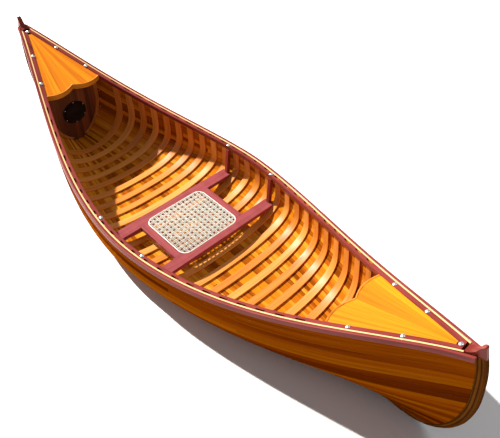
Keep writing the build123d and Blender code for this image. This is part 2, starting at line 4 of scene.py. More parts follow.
import bmesh
import bpy
import numpy as np
from mathutils import Matrix, Vector


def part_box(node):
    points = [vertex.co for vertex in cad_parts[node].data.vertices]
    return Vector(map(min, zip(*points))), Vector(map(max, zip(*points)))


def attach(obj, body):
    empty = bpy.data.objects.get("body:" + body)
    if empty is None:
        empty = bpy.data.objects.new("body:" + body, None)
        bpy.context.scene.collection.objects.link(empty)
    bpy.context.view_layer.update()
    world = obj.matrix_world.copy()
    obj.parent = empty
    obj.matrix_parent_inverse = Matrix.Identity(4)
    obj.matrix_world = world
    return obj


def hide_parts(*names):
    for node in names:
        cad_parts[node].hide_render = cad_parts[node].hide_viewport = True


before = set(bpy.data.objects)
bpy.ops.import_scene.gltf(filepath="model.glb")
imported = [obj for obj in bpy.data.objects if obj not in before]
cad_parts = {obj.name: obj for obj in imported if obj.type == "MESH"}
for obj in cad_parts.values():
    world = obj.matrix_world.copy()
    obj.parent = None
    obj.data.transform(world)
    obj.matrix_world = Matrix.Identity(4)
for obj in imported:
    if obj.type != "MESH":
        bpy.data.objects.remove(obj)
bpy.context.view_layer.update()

# ---------- Planking ----------
# The hull skin: forty-eight long cedar strips, edge-glued between two stems, with a flat
# strip along the keel. Boards from light and dark logs are mixed, then sanded fair and
# varnished, so every strip keeps its own colour and its own run of grain.

strips_a_side = 24
lengths_a_strip = 3
strip_seed = 11
keel_tone = 0.62
outside_painted_shade = (0.43, 0.27, 0.02)   # painted shade: darkens the outside of the skin, which lies in shade
rim_cream = (0.80, 0.52, 0.24)       # bare wood along the upper edge
rim_level = 0.75                     # least upward part of a face that is taken as the edge
rim_lowest = 0.22                    # the floor of the hull, below this, is not the edge
skin_axis_height = 0.7               # the inside of the skin faces this line along the hull


class Wire:
    """One output of a finish's nodes. Sums and products of wires add the nodes they need."""

    def __init__(self, finish, socket):
        self.finish = finish
        self.socket = socket

    def work(self, operation, first, second=0.0):
        return self.finish.node("Math", {"operation": operation}, {0: first, 1: second})["Value"]

    def __add__(self, other):
        return self.work("ADD", self, other)

    def __sub__(self, other):
        return self.work("SUBTRACT", self, other)

    def __rsub__(self, other):
        return self.work("SUBTRACT", other, self)

    def __mul__(self, other):
        return self.work("MULTIPLY", self, other)

    def __truediv__(self, other):
        return self.work("DIVIDE", self, other)

    def __abs__(self):
        return self.work("ABSOLUTE", self)

    def __gt__(self, other):
        return self.work("GREATER_THAN", self, other)

    __radd__ = __add__


class Finish:
    """What a piece is coated or made with: one material, built up node by node."""

    def __init__(self, name, **fixed):
        self.material = bpy.data.materials.new(name)
        self.material.use_nodes = True
        self.nodes = self.material.node_tree.nodes
        self.links = self.material.node_tree.links
        self.shader = self.nodes["Principled BSDF"]
        for socket, value in fixed.items():
            self.shader.inputs[socket.replace("_", " ")].default_value = value

    def node(self, kind, settings=None, sockets=None):
        """A node of that kind with its settings, then the values or wires of its sockets."""
        made = self.nodes.new("ShaderNode" + kind)
        for key, value in (settings or {}).items():
            if key == "stops":
                self.set_stops(made.color_ramp, value)
            else:
                setattr(made, key, value)
        for key, value in (sockets or {}).items():
            self.plug(self.open_socket(made.inputs, key), value)
        return {s.name: Wire(self, s) for s in made.outputs if s.enabled}

    def set_stops(self, ramp, stops):
        while len(ramp.elements) < len(stops):
            ramp.elements.new(0.5)
        for element, (place, colour) in zip(ramp.elements, stops):
            element.position = place
            element.color = (*colour, 1.0)

    def open_socket(self, sockets, key):
        if isinstance(key, int):
            return sockets[key]
        return next(s for s in sockets if s.name == key and s.enabled)

    def plug(self, socket, value):
        if isinstance(value, Wire):
            self.links.new(value.socket, socket)
        elif isinstance(value, tuple) and socket.type == "RGBA":
            socket.default_value = (*value, 1.0)
        else:
            socket.default_value = value

    def show(self, **varying):
        """Feeds varying colour, roughness, coat or normal to the shader."""
        for socket, wire in varying.items():
            self.plug(self.shader.inputs[socket.replace("_", " ")], wire)

    def place(self):
        return self.node("TexCoord")["Object"]

    def noise(self, at, size, detail=4.0, roughness=0.55, twist=0.0):
        """Soft noise whose lumps have that size in metres along each axis."""
        scale = tuple(1.0 / s for s in size)
        mapped = self.node("Mapping", {}, {"Vector": at, "Scale": scale})["Vector"]
        sockets = {
            "Vector": mapped,
            "Scale": 1.0,
            "Detail": detail,
            "Roughness": roughness,
            "Distortion": twist,
        }
        return self.node("TexNoise", {"noise_dimensions": "3D"}, sockets)["Fac"]

    def blend(self, share, first, second, way="MIX"):
        sockets = {"Factor": share, "A": first, "B": second}
        return self.node("Mix", {"data_type": "RGBA", "blend_type": way}, sockets)["Result"]

    def ramp(self, value, *stops):
        return self.node("ValToRGB", {"stops": stops}, {"Fac": value})["Color"]

    def relief(self, height, depth):
        """A normal that tips with the height, for that depth in metres."""
        return self.node(
            "Bump", {}, {"Height": height, "Distance": depth, "Strength": 1.0}
        )["Normal"]

    def split(self, at):
        parts = self.node("SeparateXYZ", {}, {"Vector": at})
        return parts["X"], parts["Y"], parts["Z"]

    def join(self, x, y, z):
        return self.node("CombineXYZ", {}, {"X": x, "Y": y, "Z": z})["Vector"]

    def grain(self, at, run, across, depth=0.00006):
        """Long wood grain: (streaks from 0 to 1, normal). run and across are sizes in metres."""
        broad = self.noise(at, [4 * a if a < run else a for a in across], 2.0, 0.5, 0.4)
        fine = self.noise(at, across, 5.0, 0.65, 0.3)
        pores = self.noise(at, [0.3 * a if a < run else 0.5 * a for a in across], 2.0, 0.6)
        streaks = broad * 0.5 + fine * 0.5
        return streaks, self.relief(streaks * 0.5 + pores * 0.5, depth)


def merged_copy(name, *nodes):
    """A new piece from the exact shapes of CAD nodes, their loose triangles joined up."""
    shape = bmesh.new()
    for node in nodes:
        shape.from_mesh(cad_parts[node].data)
    bmesh.ops.remove_doubles(shape, verts=shape.verts, dist=1e-6)
    mesh = bpy.data.meshes.new(name)
    shape.to_mesh(mesh)
    shape.free()
    piece = bpy.data.objects.new(name, mesh)
    bpy.context.scene.collection.objects.link(piece)
    return piece


def solids_of(mesh):
    """The separate solids of a mesh, as lists of vertex numbers in the order they were made."""
    parent = list(range(len(mesh.vertices)))

    def root(k):
        while parent[k] != k:
            parent[k] = parent[parent[k]]
            k = parent[k]
        return k

    for edge in mesh.edges:
        a, b = root(edge.vertices[0]), root(edge.vertices[1])
        parent[max(a, b)] = min(a, b)
    groups = {}
    for k in range(len(parent)):
        groups.setdefault(root(k), []).append(k)
    return [groups[k] for k in sorted(groups)]


def mark(piece, name, values):
    """Gives every point of a piece a number that its finish can read."""
    attribute = piece.data.attributes.new(name, "FLOAT", "POINT")
    attribute.data.foreach_set("value", np.array(values, np.float32))


def follow(piece):
    """Marks every point with its station and its place across its own strip or batten."""
    places = np.array([v.co for v in piece.data.vertices], float)
    marks = places.copy()
    for points in solids_of(piece.data):
        run = places[points]
        middle, reach = run[:, 0].mean(), np.ptp(run[:, 0])
        share = (run[:, 0] - middle) / reach
        for axis in (1, 2):
            centre_line = np.polyfit(share, run[:, axis], 6)
            marks[points, axis] = run[:, axis] - np.polyval(centre_line, share)
    attribute = piece.data.attributes.new("along", "FLOAT_VECTOR", "POINT")
    attribute.data.foreach_set("vector", marks.astype(np.float32).ravel())


def mark_faces(piece, name, values):
    """Gives every face of a piece a number that its finish can read."""
    attribute = piece.data.attributes.new(name, "FLOAT", "FACE")
    attribute.data.foreach_set("value", np.array(values, np.float32))


def mark_outside(piece):
    """Marks with 1 every face of the skin that looks away from the axis of the hull; the finish
    paints shade on these faces.
    """
    sides = []
    for face in piece.data.polygons:
        outward = Vector((0.0, face.center.y, face.center.z - skin_axis_height))
        sides.append(float(face.normal.dot(outward) > 0))
    mark_faces(piece, "outside", sides)


def mark_rim(piece):
    """Marks with 1 every face of the bare upper edge of the skin."""
    rim = []
    for face in piece.data.polygons:
        rim.append(float(face.normal.z > rim_level and face.center.z > rim_lowest))
    mark_faces(piece, "rim", rim)


def crisp(piece, angle=35):
    """Smooth shading that stops at every edge sharper than the angle."""
    for polygon in piece.data.polygons:
        polygon.use_smooth = True
    piece.data.set_sharp_from_angle(angle=math.radians(angle))
    flatten = piece.modifiers.new("flat faces", "WEIGHTED_NORMAL")
    flatten.keep_sharp = True


def ease_edges(piece, width, segments=2, angle=35, clamp=False):
    """Rounds the sharp edges over and smooths the shading between them."""
    bevel = piece.modifiers.new("eased edges", "BEVEL")
    bevel.width = width
    bevel.segments = segments
    bevel.limit_method = "ANGLE"
    bevel.angle_limit = math.radians(angle)
    bevel.harden_normals = False
    bevel.use_clamp_overlap = clamp
    for polygon in piece.data.polygons:
        polygon.use_smooth = True
    flatten = piece.modifiers.new("flat faces", "WEIGHTED_NORMAL")
    flatten.keep_sharp = False


def fit(piece, finish, slot, body, *nodes):
    """Coats a piece and fixes it to its body in place of the CAD nodes it was made from."""
    piece.data.materials.clear()
    piece.data.materials.append(finish.material)
    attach(piece, body)
    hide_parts(*nodes)


def varnish(finish, streaks, low=0.22, high=0.42):
    """Gloss that drops a little where the grain is open."""
    return finish.node("MapRange", {}, {"Value": streaks, "To Min": low, "To Max": high})["Result"]


def strip_finish():
    finish = Finish("varnished cedar strips", Coat_Roughness=0.12, Specular_IOR_Level=0.0)
    tone = finish.node("Attribute", {"attribute_name": "strip_tone"})["Fac"]
    x, y, z = finish.split(finish.node("Attribute", {"attribute_name": "along"})["Vector"])
    at = finish.join(x + tone * 7.0, y, z + tone * 3.0)
    streaks, normal = finish.grain(at, 0.2, (0.55, 0.0035, 0.0035))
    shade = tone * 0.8 + streaks * 0.2
    wood = finish.ramp(
        shade,
        (0.06, (0.15, 0.034, 0.003)),
        (0.18, (0.36, 0.092, 0.004)),
        (0.36, (0.55, 0.165, 0.006)),
        (0.60, (0.68, 0.235, 0.010)),
        (0.86, (0.80, 0.345, 0.030)),
    )
    dark_lines = finish.ramp(
        streaks, (0.34, (0.42, 0.30, 0.22)), (0.50, (0.86, 0.80, 0.74)), (0.66, (1.0, 1.0, 1.0))
    )
    colour = finish.blend(0.85, wood, dark_lines, "MULTIPLY")
    # The outside faces of the skin are multiplied darker below: painted shade for the shaded outer
    # side of the hull.
    outside = finish.node("Attribute", {"attribute_name": "outside"})["Fac"]
    colour = finish.blend(outside, colour, outside_painted_shade, "MULTIPLY")
    rim = finish.node("Attribute", {"attribute_name": "rim"})["Fac"]
    colour = finish.blend(rim, colour, rim_cream)
    gloss = 0.16 - outside * 0.155
    finish.show(
        Base_Color=colour, Roughness=varnish(finish, streaks), Coat_Weight=gloss, Normal=normal
    )
    return finish


strips = strip_finish()
toss = random.Random(strip_seed)
tones = [toss.random() for _ in range(strips_a_side * lengths_a_strip)]
for side in ("port", "starboard"):
    node = f"planking_{side}"
    skin = merged_copy(f"hull_strips_{side}", node)
    tone_of_point = [0.0] * len(skin.data.vertices)
    for number, points in enumerate(solids_of(skin.data)):
        for point in points:
            tone_of_point[point] = tones[number]
    mark(skin, "strip_tone", tone_of_point)
    mark_outside(skin)
    mark_rim(skin)
    follow(skin)
    crisp(skin)
    fit(skin, strips, "cedar_planking", "hull", node)

keel = merged_copy("keel_strip_board", "keel_strip")
mark(keel, "strip_tone", [keel_tone] * len(keel.data.vertices))
mark_outside(keel)
follow(keel)
crisp(keel)
fit(keel, strips, "cedar_planking", "hull", "keel_strip")

# ---------- Ribs ----------
# Twenty-four flat cedar ribs, steamed and bent over the form from gunwale to gunwale, with
# eased edges and a satin varnish. The grain runs along each rib and round the bend.

rib_count = 24
rib_round = 0.0014


def rib_finish():
    finish = Finish(
        "satin cedar ribs", Coat_Weight=0.12, Coat_Roughness=0.2, Specular_IOR_Level=0.3
    )
    tone = finish.node("Attribute", {"attribute_name": "rib_tone"})["Fac"]
    x, y, z = finish.split(finish.place())
    at = finish.join(x, y + tone * 5.0, z)
    streaks, normal = finish.grain(at, 0.1, (0.0026, 0.35, 0.35))
    wood = finish.ramp(
        tone, (0.0, (0.64, 0.215, 0.030)), (0.5, (0.74, 0.285, 0.050)), (1.0, (0.82, 0.36, 0.080))
    )
    lines = finish.ramp(
        streaks, (0.34, (0.62, 0.48, 0.40)), (0.52, (0.93, 0.90, 0.86)), (0.68, (1.0, 1.0, 1.0))
    )
    colour = finish.blend(0.8, wood, lines, "MULTIPLY")
    finish.show(Base_Color=colour, Roughness=varnish(finish, streaks, 0.3, 0.5), Normal=normal)
    return finish


rib_cedar = rib_finish()
for number in range(1, rib_count + 1):
    node = f"rib_{number:02d}"
    rib = merged_copy(f"bent_rib_{number:02d}", node)
    mark(rib, "rib_tone", [toss.random()] * len(rib.data.vertices))
    ease_edges(rib, rib_round)
    fit(rib, rib_cedar, "cedar_ribs", "hull", node)

# ---------- Gunwales ----------
# Mahogany battens inside and outside the planking, from stem to stem. The inner one is
# pocketed over every rib head. Both are rounded with a plane and varnished.

gunwale_round = 0.0028


def mahogany_finish(name, dark, light, across=(0.3, 0.003, 0.003), run=0.1, bent=False):
    finish = Finish(name, Coat_Weight=0.06, Coat_Roughness=0.15, Specular_IOR_Level=0.12)
    at = finish.node("Attribute", {"attribute_name": "along"})["Vector"] if bent else finish.place()
    streaks, normal = finish.grain(at, run, across)
    patches = finish.noise(at, (0.25, 0.05, 0.05), 2.0)
    wood = finish.blend(patches, dark, light)
    lines = finish.ramp(
        streaks, (0.32, (0.50, 0.42, 0.40)), (0.5, (0.90, 0.86, 0.85)), (0.7, (1.0, 1.0, 1.0))
    )
    colour = finish.blend(0.85, wood, lines, "MULTIPLY")
    finish.show(Base_Color=colour, Roughness=varnish(finish, streaks, 0.25, 0.42), Normal=normal)
    return finish


batten_wood = mahogany_finish(
    "varnished mahogany battens", (0.15, 0.018, 0.018), (0.34, 0.065, 0.055), bent=True
)
for side in ("port", "starboard"):
    for batten in ("inwale", "outwale"):
        node = f"{batten}_{side}"
        rail = merged_copy(f"{batten}_batten_{side}", node)
        follow(rail)
        if batten == "outwale":
            ease_edges(rail, gunwale_round)
        else:
            crisp(rail)
        fit(rail, batten_wood, "mahogany_trim", "hull", node)

# ---------- Stems ----------
# Each end is closed by an inner stem, which the strips are glued to, and an outer stem of
# thin laminations bent and glued over it, tapered to a rounded nose.

stem_round = 0.0016
backing_round = 0.0008
lamination_start = 0.0124     # half width of the stem at its back
lamination_step = 0.00026     # loss of half width from one lamination to the next


def lamination_finish():
    finish = Finish(
        "laminated stem wood", Coat_Weight=0.02, Coat_Roughness=0.15, Specular_IOR_Level=0.0
    )
    x, y, z = finish.split(finish.place())
    streaks, normal = finish.grain(finish.place(), 0.1, (0.06, 0.003, 0.08))
    layer = (lamination_start - abs(y)) / lamination_step
    number = finish.node("Math", {"operation": "FLOOR"}, {0: layer})["Value"]
    chance = finish.node("TexWhiteNoise", {"noise_dimensions": "1D"}, {"W": number})["Value"]
    wood = finish.ramp(
        chance,
        (0.1, (0.05, 0.013, 0.002)),
        (0.5, (0.11, 0.033, 0.003)),
        (0.9, (0.17, 0.058, 0.006)),
    )
    lines = finish.ramp(
        streaks, (0.34, (0.55, 0.45, 0.38)), (0.55, (0.95, 0.92, 0.9)), (0.7, (1.0, 1.0, 1.0))
    )
    colour = finish.blend(0.8, wood, lines, "MULTIPLY")
    finish.show(Base_Color=colour, Roughness=varnish(finish, streaks), Normal=normal)
    return finish


laminations = lamination_finish()
for end in ("bow", "stern"):
    stem = merged_copy(f"{end}_laminated_stem", f"{end}_outer_stem")
    ease_edges(stem, stem_round)
    fit(stem, laminations, "laminated_stem_wood", "hull", f"{end}_outer_stem")
backing = merged_copy("inner_stem_wedges", "inner_stems")
ease_edges(backing, backing_round)
fit(backing, laminations, "laminated_stem_wood", "hull", "inner_stems")

# ---------- Stem caps ----------
# A carved mahogany block over each stem: a low saddle that sweeps up to a rounded head,
# glued across the ends of the planking and gunwales.

cap_round = 0.0022
cap_wood = mahogany_finish("carved cap mahogany", (0.14, 0.016, 0.012), (0.30, 0.050, 0.034))
for end in ("bow", "stern"):
    cap = merged_copy(f"{end}_carved_cap", f"{end}_stem_cap")
    ease_edges(cap, cap_round, 3, 30, clamp=True)
    fit(cap, cap_wood, "mahogany_trim", "hull", f"{end}_stem_cap")

# ---------- Decks ----------
# Golden cedar planks that fan out from the tip and sit a little below the inwales, with a
# bent cedar coaming glued along their inner edge.

coaming_round = 0.0018
deck_tip_half = 0.0085
deck_spread = 0.343           # half width gained per metre back from the tip
deck_tip_station = 1.362


def deck_finish():
    finish = Finish(
        "golden cedar decks", Coat_Weight=0.2, Coat_Roughness=0.1, Specular_IOR_Level=0.3
    )
    x, y, z = finish.split(finish.place())
    half = deck_tip_half + (deck_tip_station - abs(x)) * deck_spread
    fan = y / half
    at = finish.join(x, fan * 0.12, 0.0)
    streaks, normal = finish.grain(at, 0.1, (0.35, 0.0030, 1.0))
    tone = finish.node("Attribute", {"attribute_name": "plank_tone"})["Fac"]
    wood = finish.ramp(
        tone, (0.0, (0.70, 0.185, 0.001)), (0.5, (0.80, 0.245, 0.002)), (1.0, (0.88, 0.31, 0.004))
    )
    lines = finish.ramp(
        streaks, (0.32, (0.62, 0.46, 0.34)), (0.52, (0.94, 0.90, 0.84)), (0.68, (1.0, 1.0, 1.0))
    )
    colour = finish.blend(0.85, wood, lines, "MULTIPLY")
    finish.show(Base_Color=colour, Roughness=varnish(finish, streaks), Normal=normal)
    return finish


deck_cedar = deck_finish()
for end in ("bow", "stern"):
    deck = merged_copy(f"{end}_deck_planks", f"{end}_deck")
    tone_of_point = [0.0] * len(deck.data.vertices)
    for points in solids_of(deck.data):
        tone = toss.random()
        for point in points:
            tone_of_point[point] = tone
    mark(deck, "plank_tone", tone_of_point)
    crisp(deck)
    fit(deck, deck_cedar, "cedar_decks", "hull", f"{end}_deck")


def coaming_finish():
    finish = Finish(
        "bent coaming cedar", Coat_Weight=0.25, Coat_Roughness=0.1, Specular_IOR_Level=0.35
    )
    streaks, normal = finish.grain(finish.place(), 0.05, (0.02, 0.2, 0.0022))
    wood = finish.ramp(
        streaks, (0.32, (0.42, 0.11, 0.006)), (0.5, (0.66, 0.22, 0.012)), (0.7, (0.80, 0.32, 0.03))
    )
    finish.show(Base_Color=wood, Roughness=varnish(finish, streaks), Normal=normal)
    return finish


coaming = merged_copy("bent_coamings", "deck_coamings")
ease_edges(coaming, coaming_round)
fit(coaming, coaming_finish(), "deck_coaming_wood", "hull", "deck_coamings")

# ---------- Bulkheads ----------
# A panel of narrow dark red cedar staves, glued edge to edge, closes each end off. Lighter
# slats are pinned along its two edges and meet in a V above the keel.

stave_width = 0.021
slat_round = 0.0008


def stave_finish():
    finish = Finish("dark cedar staves", Coat_Weight=0.2, Coat_Roughness=0.25)
    x, y, z = finish.split(finish.place())
    place = y / stave_width + 0.5
    number = finish.node("Math", {"operation": "FLOOR"}, {0: place})["Value"]
    share = finish.node("Math", {"operation": "FRACT"}, {0: place})["Value"]
    chance = finish.node("TexWhiteNoise", {"noise_dimensions": "1D"}, {"W": number})["Value"]
    streaks, normal = finish.grain(finish.join(x, y, z + chance * 4.0), 0.1, (0.004, 0.0026, 0.3))
    wood = finish.ramp(
        chance,
        (0.0, (0.09, 0.020, 0.006)),
        (0.5, (0.17, 0.042, 0.012)),
        (1.0, (0.27, 0.075, 0.020)),
    )
    seam = abs(share - 0.5) > 0.475
    lines = finish.ramp(streaks, (0.34, (0.55, 0.45, 0.40)), (0.6, (1.0, 1.0, 1.0)))
    colour = finish.blend(0.8, wood, lines, "MULTIPLY")
    colour = finish.blend(seam * 0.75, colour, (0.03, 0.012, 0.008))
    finish.show(Base_Color=colour, Roughness=varnish(finish, streaks, 0.35, 0.55), Normal=normal)
    return finish


staves = stave_finish()
for end in ("bow", "stern"):
    panel = merged_copy(f"{end}_stave_panel", f"{end}_bulkhead")
    crisp(panel)
    fit(panel, staves, "bulkhead_cedar", "hull", f"{end}_bulkhead")


def slat_finish():
    finish = Finish("light cedar slats", Coat_Weight=0.25, Coat_Roughness=0.2)
    streaks, normal = finish.grain(finish.place(), 0.05, (0.02, 0.0026, 0.2))
    wood = finish.ramp(
        streaks, (0.32, (0.34, 0.11, 0.02)), (0.5, (0.50, 0.19, 0.035)), (0.7, (0.62, 0.27, 0.06))
    )
    finish.show(Base_Color=wood, Roughness=varnish(finish, streaks, 0.3, 0.45), Normal=normal)
    return finish


slats = merged_copy("edge_slats", "bulkhead_borders")
ease_edges(slats, slat_round)
fit(slats, slat_finish(), "bulkhead_border_cedar", "hull", "bulkhead_borders")

# ---------- Hatches ----------
# A moulded black ring in each bulkhead takes a round lid, which turns a quarter turn by the
# bar across its dish and then pulls out. A rubber ring seals it. The plastic is finely
# pebbled and rubbed slightly brighter where hands and gear touch it.


def moulded_finish(name, colour, worn, rough):
    finish = Finish(name, Specular_IOR_Level=0.25)
    pebbles = finish.noise(finish.place(), (0.0012, 0.0012, 0.0012), 2.0)
    scuffs = finish.noise(finish.place(), (0.03, 0.012, 0.02), 4.0, 0.6, 0.8)
    rubbed = finish.node(
        "MapRange", {}, {"Value": scuffs, "From Min": 0.52, "From Max": 0.72}
    )["Result"]
    base = finish.blend(rubbed * 0.6, colour, worn)
    gloss = rough + rubbed * 0.12
    finish.show(Base_Color=base, Roughness=gloss, Normal=finish.relief(pebbles, 0.00008))
    return finish


plastic = moulded_finish(
    "moulded black plastic", (0.0035, 0.0035, 0.0045), (0.012, 0.012, 0.013), 0.42
)
rubber = moulded_finish("seal rubber", (0.018, 0.017, 0.016), (0.04, 0.038, 0.036), 0.6)
for end in ("bow", "stern"):
    for kind, body, finish, slot in (
        ("ring", "hull", plastic, "hatch_plastic"),
        ("lid", f"{end}_hatch_cover", plastic, "hatch_plastic"),
        ("seal", f"{end}_hatch_seal_ring", rubber, "hatch_seal_rubber"),
    ):
        node = f"{end}_hatch_{kind}"
        moulding = merged_copy(f"{end}_moulded_{kind}", node)
        crisp(moulding)
        fit(moulding, finish, slot, body, node)

# ---------- Seat frame ----------
# Two mahogany crossbars and two side rails, rebated on top for the caning. Four posts hang
# the crossbars from the inwales, and brass inserts take the bolts.

seat_round = 0.0022
seat_wood = mahogany_finish(
    "seat mahogany", (0.24, 0.042, 0.048), (0.40, 0.100, 0.105), (0.0028, 0.28, 0.003)
)
rail_wood = mahogany_finish("seat rail mahogany", (0.24, 0.042, 0.048), (0.40, 0.100, 0.105))
post_wood = mahogany_finish(
    "hanger post mahogany", (0.20, 0.025, 0.018), (0.34, 0.055, 0.036), (0.003, 0.003, 0.2)
)
for name, node, finish in (
    ("seat_bar_forward", "seat_forward_crossbar", seat_wood),
    ("seat_bar_aft", "seat_aft_crossbar", seat_wood),
    ("seat_rail_port", "seat_port_rail", rail_wood),
    ("seat_rail_starboard", "seat_starboard_rail", rail_wood),
    ("seat_posts", "seat_hanger_posts", post_wood),
):
    member = merged_copy(name, node)
    ease_edges(member, seat_round, clamp=True)
    fit(member, finish, "seat_mahogany", "hull", node)


def brass_finish():
    finish = Finish("turned brass", Metallic=1.0)
    rings = finish.noise(finish.place(), (0.02, 0.02, 0.0004), 2.0)
    colour = finish.ramp(rings, (0.3, (0.42, 0.27, 0.08)), (0.7, (0.62, 0.44, 0.16)))
    finish.show(
        Base_Color=colour, Roughness=rings * 0.25 + 0.2, Normal=finish.relief(rings, 0.00004)
    )
    return finish


sleeves = merged_copy("brass_sleeves", "seat_threaded_inserts")
crisp(sleeves)
fit(sleeves, brass_finish(), "brass_inserts", "hull", "seat_threaded_inserts")

# ---------- Caning ----------
# Cane strands woven in pairs along and across the opening with single strands on both
# diagonals, which leaves a square lattice of eight-sided holes. A cane cord pressed into
# the rebate locks the ends.

hole_pitch = 0.02358
holes_long = 12
holes_wide = 13
pair_offset = 0.0041
strand_width = 0.0079
diagonal_width = 0.0050
strand_thickness = 0.0005
weave_lift = 0.0002
cord_round = 0.001
panel_corner = 0.0405


def cane_clip(point, way, half, corner):
    """How far a strand runs from a point along a way before it leaves the rounded opening."""
    reach = 0.0
    step = 0.001
    while inside(point + way * (reach + step), half, corner):
        reach += step
    return reach


def inside(point, half, corner):
    over = Vector((abs(point.x) - half.x + corner, abs(point.y) - half.y + corner))
    if over.x <= 0 or over.y <= 0:
        return max(over.x, over.y) <= corner
    return over.length <= corner


def strand_line(points, sides, start, way, base, phase, half, corner):
    """Adds one strand's centre line, lifted and dipped as it goes over and under."""
    back = cane_clip(start, -way, half, corner)
    ahead = cane_clip(start, way, half, corner)
    steps = max(2, round((back + ahead) / (hole_pitch / 4)))
    first = len(points)
    for k in range(steps + 1):
        along = -back + (back + ahead) * k / steps
        flat = start + way * along
        wave = math.sin(math.tau * (flat.x + flat.y) / hole_pitch / 2 + phase)
        points.append((flat.x, flat.y, base + weave_lift * wave))
        if k:
            sides.append((first + k - 1, first + k))


def strand_tree():
    """Sweeps a flat oval strand along the centre lines it is given."""
    tree = bpy.data.node_groups.new("cane strands", "GeometryNodeTree")
    face = tree.interface
    face.new_socket("Geometry", in_out="INPUT", socket_type="NodeSocketGeometry")
    for name in ("Width", "Thickness"):
        face.new_socket(name, in_out="INPUT", socket_type="NodeSocketFloat")
    face.new_socket("Material", in_out="INPUT", socket_type="NodeSocketMaterial")
    face.new_socket("Geometry", in_out="OUTPUT", socket_type="NodeSocketGeometry")

    def node(kind, settings=None, sockets=None):
        made = tree.nodes.new(kind)
        for key, value in (settings or {}).items():
            setattr(made, key, value)
        for key, value in (sockets or {}).items():
            if isinstance(value, bpy.types.NodeSocket):
                tree.links.new(value, made.inputs[key])
            else:
                made.inputs[key].default_value = value
        return made

    given = node("NodeGroupInput")
    lines = node("GeometryNodeMeshToCurve", {}, {"Mesh": given.outputs["Geometry"]})
    upright = node(
        "GeometryNodeSetCurveNormal", {"mode": "Z_UP"}, {"Curve": lines.outputs["Curve"]}
    )
    oval = node(
        "GeometryNodeCurvePrimitiveCircle", {"mode": "RADIUS"}, {"Resolution": 8, "Radius": 0.5}
    )
    size = node(
        "ShaderNodeCombineXYZ", {}, {
            "X": given.outputs["Thickness"], "Y": given.outputs["Width"], "Z": 1.0
        }
    )
    flat = node(
        "GeometryNodeTransform",
        {},
        {"Geometry": oval.outputs["Curve"], "Scale": size.outputs["Vector"]},
    )
    sweep = node(
        "GeometryNodeCurveToMesh",
        {},
        {
            "Curve": upright.outputs["Curve"],
            "Profile Curve": flat.outputs["Geometry"],
            "Fill Caps": True,
        },
    )
    smooth = node("GeometryNodeSetShadeSmooth", {}, {"Geometry": sweep.outputs["Mesh"]})
    real = node("GeometryNodeRealizeInstances", {}, {"Geometry": smooth.outputs["Geometry"]})
    coat = node(
        "GeometryNodeSetMaterial",
        {},
        {"Geometry": real.outputs["Geometry"], "Material": given.outputs["Material"]},
    )
    out = node("NodeGroupOutput")
    tree.links.new(coat.outputs["Geometry"], out.inputs["Geometry"])
    return tree


def grown(name, points, sides, tree, **inputs):
    """A plain mesh grown from centre lines by a node tree."""
    mesh = bpy.data.meshes.new(name + "_lines")
    mesh.from_pydata(points, sides, [])
    seed = bpy.data.objects.new(name + "_lines", mesh)
    bpy.context.scene.collection.objects.link(seed)
    modifier = seed.modifiers.new("grow", "NODES")
    modifier.node_group = tree
    for item in tree.interface.items_tree:
        if item.in_out == "INPUT" and item.name in inputs:
            modifier[item.identifier] = inputs[item.name]
    bpy.context.view_layer.update()
    graph = bpy.context.evaluated_depsgraph_get()
    grown_mesh = bpy.data.meshes.new_from_object(seed.evaluated_get(graph))
    grown_mesh.name = name
    bpy.data.objects.remove(seed)
    piece = bpy.data.objects.new(name, grown_mesh)
    bpy.context.scene.collection.objects.link(piece)
    return piece


def cane_finish(name, dark, light):
    finish = Finish(name, Coat_Weight=0.05, Coat_Roughness=0.3, Specular_IOR_Level=0.3)
    at = finish.place()
    fibres = finish.noise(at, (0.004, 0.004, 0.002), 4.0, 0.6)
    patches = finish.noise(at, (0.03, 0.03, 0.03), 2.0)
    straw = finish.blend(patches, dark, light)
    lines = finish.ramp(fibres, (0.3, (0.90, 0.86, 0.78)), (0.5, (1.0, 1.0, 1.0)))
    colour = finish.blend(0.8, straw, lines, "MULTIPLY")
    finish.show(
        Base_Color=colour, Roughness=fibres * 0.2 + 0.42, Normal=finish.relief(fibres, 0.0001)
    )
    return finish


cane = cane_finish("natural cane", (0.94, 0.95, 0.88), (0.96, 0.98, 0.95))
cord_cane = cane_finish("cane cord", (0.80, 0.73, 0.58), (0.88, 0.83, 0.72))
panel_low, panel_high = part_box("seat_cane")
panel_half = Vector((panel_high.x, panel_high.y))
middle = (panel_low.z + panel_high.z) / 2
tree = strand_tree()
woven = []
lattice_x = [(k - holes_long / 2) * hole_pitch for k in range(holes_long + 1)]
lattice_y = [(k - holes_wide / 2) * hole_pitch for k in range(holes_wide + 1)]
points, sides = [], []
for number, x in enumerate(lattice_x):
    for offset in (-pair_offset, pair_offset):
        start = Vector((x + offset, 0.0))
        if inside(start, panel_half, panel_corner):
            phase = math.pi * (number % 2)
            strand_line(
                points,
                sides,
                start,
                Vector((0, 1)),
                middle - 0.0003,
                phase,
                panel_half,
                panel_corner,
            )
for number, y in enumerate(lattice_y):
    for offset in (-pair_offset, pair_offset):
        start = Vector((0.0, y + offset))
        if inside(start, panel_half, panel_corner):
            phase = math.pi * (number % 2) + math.pi / 2
            strand_line(
                points, sides, start, Vector((1, 0)), middle, phase, panel_half, panel_corner
            )
woven.append(
    grown(
        "cane_pairs",
        points,
        sides,
        tree,
        Width=strand_width,
        Thickness=strand_thickness,
        Material=cane.material,
    )
)
points, sides = [], []
for lean in (1, -1):
    way = Vector((1, lean)).normalized()
    for k in range(-13, 14):
        start = Vector((0.0, (k + 0.5 + 0.5 * ((holes_wide + holes_long) % 2)) * hole_pitch))
        if inside(start, panel_half, panel_corner):
            base = middle + (0.00035 if lean > 0 else 0.0005)
            strand_line(points, sides, start, way, base, 0.0, panel_half, panel_corner)
